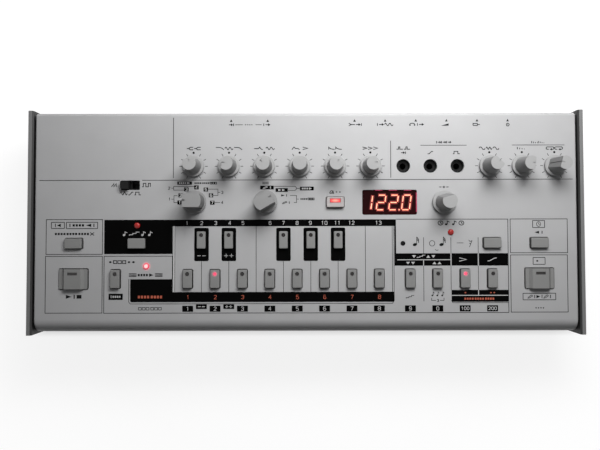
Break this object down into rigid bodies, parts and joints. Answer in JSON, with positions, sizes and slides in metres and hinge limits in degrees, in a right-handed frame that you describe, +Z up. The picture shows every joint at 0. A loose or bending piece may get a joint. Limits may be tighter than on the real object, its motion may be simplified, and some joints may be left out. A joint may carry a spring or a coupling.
{
  "type": "bass synthesizer",
  "caption": "Flat tabletop bass-line synthesizer with tapered knobs, bar selectors, lit key buttons and a digit display, lying in a dock with side cheeks, tilt hinge and folding prop.",
  "frame": {"origin": "on the surface it stands on, under the middle of the dock", "axes": "+X to the player's right, +Y to the rear, +Z up"},
  "size_m": [0.308, 0.1263, 0.051],
  "materials": {
    "panel_metal": "satin silver",
    "case_plastic": "fine grain",
    "board": "solder resist",
    "black_plastic": "matt",
    "lamp_plastic": "clear tinted",
    "window_plastic": "dark red",
    "speaker_metal": "matt",
    "cell_jacket": "wrapped",
    "contact_metal": "plated",
    "screw_metal": "dark",
    "knob_plastic": "light grey",
    "button_plastic": "warm grey",
    "dock_metal": "satin",
    "cheek_metal": "satin",
    "foot_rubber": "matt"
  },
  "bodies": {
    "dock": {"dock_base": "dock_metal", "dock_cheeks": "cheek_metal", "dock_feet": "foot_rubber", "dock_fasteners": "screw_metal"},
    "unit": {"top_cover": "panel_metal", "bottom_case": "case_plastic", "panel_board": "board", "main_board": "board", "control_bodies": "black_plastic", "rear_panel": "case_plastic", "leds": "lamp_plastic", "display_module": "black_plastic", "display_window": "window_plastic", "sockets": "black_plastic", "speaker": "speaker_metal", "batteries": "cell_jacket", "battery_contacts": "contact_metal", "unit_screws": "screw_metal"},
    "prop": {"dock_prop": "dock_metal"},
    "tuning_knob_body": {"tuning_knob": "knob_plastic"},
    "cutoff_knob_body": {"cutoff_knob": "knob_plastic"},
    "resonance_knob_body": {"resonance_knob": "knob_plastic"},
    "env_mod_knob_body": {"env_mod_knob": "knob_plastic"},
    "decay_knob_body": {"decay_knob": "knob_plastic"},
    "accent_knob_body": {"accent_knob": "knob_plastic"},
    "overdrive_knob_body": {"overdrive_knob": "knob_plastic"},
    "delay_time_knob_body": {"delay_time_knob": "knob_plastic"},
    "feedback_knob_body": {"feedback_knob": "knob_plastic"},
    "value_knob_body": {"value_knob": "knob_plastic"},
    "group_selector_body": {"group_selector": "knob_plastic"},
    "mode_selector_body": {"mode_selector": "knob_plastic"},
    "waveform_slider_body": {"waveform_slider": "black_plastic"},
    "power_slider_body": {"power_slider": "black_plastic"},
    "function_key_body": {"function_key": "button_plastic"},
    "natural_key_1_body": {"natural_key_1": "button_plastic"},
    "natural_key_2_body": {"natural_key_2": "button_plastic"},
    "natural_key_3_body": {"natural_key_3": "button_plastic"},
    "natural_key_4_body": {"natural_key_4": "button_plastic"},
    "natural_key_5_body": {"natural_key_5": "button_plastic"},
    "natural_key_6_body": {"natural_key_6": "button_plastic"},
    "natural_key_7_body": {"natural_key_7": "button_plastic"},
    "natural_key_8_body": {"natural_key_8": "button_plastic"},
    "sharp_key_1_body": {"sharp_key_1": "button_plastic"},
    "sharp_key_2_body": {"sharp_key_2": "button_plastic"},
    "sharp_key_3_body": {"sharp_key_3": "button_plastic"},
    "sharp_key_4_body": {"sharp_key_4": "button_plastic"},
    "sharp_key_5_body": {"sharp_key_5": "button_plastic"},
    "down_key_body": {"down_key": "button_plastic"},
    "up_key_body": {"up_key": "button_plastic"},
    "accent_key_body": {"accent_key": "button_plastic"},
    "slide_key_body": {"slide_key": "button_plastic"},
    "pattern_clear_button_body": {"pattern_clear_button": "button_plastic"},
    "pitch_mode_button_body": {"pitch_mode_button": "button_plastic"},
    "time_mode_button_body": {"time_mode_button": "button_plastic"},
    "back_button_body": {"back_button": "button_plastic"},
    "tempo_button_body": {"tempo_button": "button_plastic"},
    "run_stop_button_body": {"run_stop_button": "button_plastic"},
    "tap_button_body": {"tap_button": "button_plastic"},
    "volume_knob_body": {"volume_knob": "black_plastic"},
    "battery_cover_body": {"battery_cover": "case_plastic"}
  },
  "joints": [
    {"name": "tilt", "type": "hinge", "parent": "dock", "child": "unit", "pos_m": [0, -0.0548, 0.003], "axis": [1, 0, 0], "range_deg": [0, 20]},
    {"name": "prop_swing", "type": "hinge", "parent": "dock", "child": "prop", "pos_m": [0, 0.0002, 0.003], "axis": [1, 0, 0], "range_deg": [0, 40]},
    {"name": "tuning_turn", "type": "hinge", "parent": "unit", "child": "tuning_knob_body", "pos_m": [-0.0621, 0.031, 0.0375], "axis": [0, 0, 1], "range_deg": [-150, 150]},
    {"name": "cutoff_turn", "type": "hinge", "parent": "unit", "child": "cutoff_knob_body", "pos_m": [-0.0425, 0.031, 0.0375], "axis": [0, 0, 1], "range_deg": [-228, 72]},
    {"name": "resonance_turn", "type": "hinge", "parent": "unit", "child": "resonance_knob_body", "pos_m": [-0.0229, 0.031, 0.0375], "axis": [0, 0, 1], "range_deg": [-190, 110]},
    {"name": "env_mod_turn", "type": "hinge", "parent": "unit", "child": "env_mod_knob_body", "pos_m": [-0.0033, 0.031, 0.0375], "axis": [0, 0, 1], "range_deg": [-150, 150]},
    {"name": "decay_turn", "type": "hinge", "parent": "unit", "child": "decay_knob_body", "pos_m": [0.0163, 0.031, 0.0375], "axis": [0, 0, 1], "range_deg": [-110, 190]},
    {"name": "accent_turn", "type": "hinge", "parent": "unit", "child": "accent_knob_body", "pos_m": [0.0359, 0.031, 0.0375], "axis": [0, 0, 1], "range_deg": [-70, 230]},
    {"name": "overdrive_turn", "type": "hinge", "parent": "unit", "child": "overdrive_knob_body", "pos_m": [0.10185, 0.031, 0.0375], "axis": [0, 0, 1], "range_deg": [-105, 195]},
    {"name": "delay_time_turn", "type": "hinge", "parent": "unit", "child": "delay_time_knob_body", "pos_m": [0.11985, 0.031, 0.0375], "axis": [0, 0, 1], "range_deg": [-55, 245]},
    {"name": "feedback_turn", "type": "hinge", "parent": "unit", "child": "feedback_knob_body", "pos_m": [0.13785, 0.031, 0.0375], "axis": [0, 0, 1], "range_deg": [-225, 75]},
    {"name": "value_turn", "type": "hinge", "parent": "unit", "child": "value_knob_body", "pos_m": [0.0764, 0.01087, 0.0375], "axis": [0, 0, 1], "continuous": true},
    {"name": "group_choice_turn", "type": "hinge", "parent": "unit", "child": "group_selector_body", "pos_m": [-0.0614, 0.01117, 0.0375], "axis": [0, 0, 1], "range_deg": [-180, 0]},
    {"name": "mode_choice_turn", "type": "hinge", "parent": "unit", "child": "mode_selector_body", "pos_m": [-0.0222, 0.01117, 0.0375], "axis": [0, 0, 1], "range_deg": [-30, 60]},
    {"name": "waveform_slider_travel", "type": "slide", "parent": "unit", "child": "waveform_slider_body", "axis": [1, 0, 0], "range_m": [0, 0.0054]},
    {"name": "power_slider_travel", "type": "slide", "parent": "unit", "child": "power_slider_body", "axis": [1, 0, 0], "range_m": [0, 0.0042]},
    {"name": "function_key_travel", "type": "slide", "parent": "unit", "child": "function_key_body", "axis": [0, 0, -1], "range_m": [0, 0.0008], "stiffness_N_per_m": 300, "springref_m": -0.002},
    {"name": "natural_key_1_travel", "type": "slide", "parent": "unit", "child": "natural_key_1_body", "axis": [0, 0, -1], "range_m": [0, 0.0008], "stiffness_N_per_m": 300, "springref_m": -0.002},
    {"name": "natural_key_2_travel", "type": "slide", "parent": "unit", "child": "natural_key_2_body", "axis": [0, 0, -1], "range_m": [0, 0.0008], "stiffness_N_per_m": 300, "springref_m": -0.002},
    {"name": "natural_key_3_travel", "type": "slide", "parent": "unit", "child": "natural_key_3_body", "axis": [0, 0, -1], "range_m": [0, 0.0008], "stiffness_N_per_m": 300, "springref_m": -0.002},
    {"name": "natural_key_4_travel", "type": "slide", "parent": "unit", "child": "natural_key_4_body", "axis": [0, 0, -1], "range_m": [0, 0.0008], "stiffness_N_per_m": 300, "springref_m": -0.002},
    {"name": "natural_key_5_travel", "type": "slide", "parent": "unit", "child": "natural_key_5_body", "axis": [0, 0, -1], "range_m": [0, 0.0008], "stiffness_N_per_m": 300, "springref_m": -0.002},
    {"name": "natural_key_6_travel", "type": "slide", "parent": "unit", "child": "natural_key_6_body", "axis": [0, 0, -1], "range_m": [0, 0.0008], "stiffness_N_per_m": 300, "springref_m": -0.002},
    {"name": "natural_key_7_travel", "type": "slide", "parent": "unit", "child": "natural_key_7_body", "axis": [0, 0, -1], "range_m": [0, 0.0008], "stiffness_N_per_m": 300, "springref_m": -0.002},
    {"name": "natural_key_8_travel", "type": "slide", "parent": "unit", "child": "natural_key_8_body", "axis": [0, 0, -1], "range_m": [0, 0.0008], "stiffness_N_per_m": 300, "springref_m": -0.002},
    {"name": "sharp_key_1_travel", "type": "slide", "parent": "unit", "child": "sharp_key_1_body", "axis": [0, 0, -1], "range_m": [0, 0.0008], "stiffness_N_per_m": 300, "springref_m": -0.002},
    {"name": "sharp_key_2_travel", "type": "slide", "parent": "unit", "child": "sharp_key_2_body", "axis": [0, 0, -1], "range_m": [0, 0.0008], "stiffness_N_per_m": 300, "springref_m": -0.002},
    {"name": "sharp_key_3_travel", "type": "slide", "parent": "unit", "child": "sharp_key_3_body", "axis": [0, 0, -1], "range_m": [0, 0.0008], "stiffness_N_per_m": 300, "springref_m": -0.002},
    {"name": "sharp_key_4_travel", "type": "slide", "parent": "unit", "child": "sharp_key_4_body", "axis": [0, 0, -1], "range_m": [0, 0.0008], "stiffness_N_per_m": 300, "springref_m": -0.002},
    {"name": "sharp_key_5_travel", "type": "slide", "parent": "unit", "child": "sharp_key_5_body", "axis": [0, 0, -1], "range_m": [0, 0.0008], "stiffness_N_per_m": 300, "springref_m": -0.002},
    {"name": "down_key_travel", "type": "slide", "parent": "unit", "child": "down_key_body", "axis": [0, 0, -1], "range_m": [0, 0.0008], "stiffness_N_per_m": 300, "springref_m": -0.002},
    {"name": "up_key_travel", "type": "slide", "parent": "unit", "child": "up_key_body", "axis": [0, 0, -1], "range_m": [0, 0.0008], "stiffness_N_per_m": 300, "springref_m": -0.002},
    {"name": "accent_key_travel", "type": "slide", "parent": "unit", "child": "accent_key_body", "axis": [0, 0, -1], "range_m": [0, 0.0008], "stiffness_N_per_m": 300, "springref_m": -0.002},
    {"name": "slide_key_travel", "type": "slide", "parent": "unit", "child": "slide_key_body", "axis": [0, 0, -1], "range_m": [0, 0.0008], "stiffness_N_per_m": 300, "springref_m": -0.002},
    {"name": "pattern_clear_button_travel", "type": "slide", "parent": "unit", "child": "pattern_clear_button_body", "axis": [0, 0, -1], "range_m": [0, 0.0008], "stiffness_N_per_m": 300, "springref_m": -0.002},
    {"name": "pitch_mode_button_travel", "type": "slide", "parent": "unit", "child": "pitch_mode_button_body", "axis": [0, 0, -1], "range_m": [0, 0.0008], "stiffness_N_per_m": 300, "springref_m": -0.002},
    {"name": "time_mode_button_travel", "type": "slide", "parent": "unit", "child": "time_mode_button_body", "axis": [0, 0, -1], "range_m": [0, 0.0008], "stiffness_N_per_m": 300, "springref_m": -0.002},
    {"name": "back_button_travel", "type": "slide", "parent": "unit", "child": "back_button_body", "axis": [0, 0, -1], "range_m": [0, 0.0008], "stiffness_N_per_m": 300, "springref_m": -0.002},
    {"name": "tempo_button_travel", "type": "slide", "parent": "unit", "child": "tempo_button_body", "axis": [0, 0, -1], "range_m": [0, 0.0008], "stiffness_N_per_m": 300, "springref_m": -0.002},
    {"name": "run_stop_button_travel", "type": "slide", "parent": "unit", "child": "run_stop_button_body", "axis": [0, 0, -1], "range_m": [0, 0.0008], "stiffness_N_per_m": 300, "springref_m": -0.002},
    {"name": "tap_button_travel", "type": "slide", "parent": "unit", "child": "tap_button_body", "axis": [0, 0, -1], "range_m": [0, 0.0008], "stiffness_N_per_m": 300, "springref_m": -0.002},
    {"name": "volume_turn", "type": "hinge", "parent": "unit", "child": "volume_knob_body", "pos_m": [0.0782, 0.0608, 0.017], "axis": [0, 1, 0], "range_deg": [-150, 150]},
    {"name": "battery_cover_swing", "type": "hinge", "parent": "unit", "child": "battery_cover_body", "pos_m": [-0.062, -0.0153, 0.0065], "axis": [1, 0, 0], "range_deg": [0, 80]}
  ],
  "couplings": [
    {"joint": "prop_swing", "follows": "tilt", "ratio": 2}
  ]
}
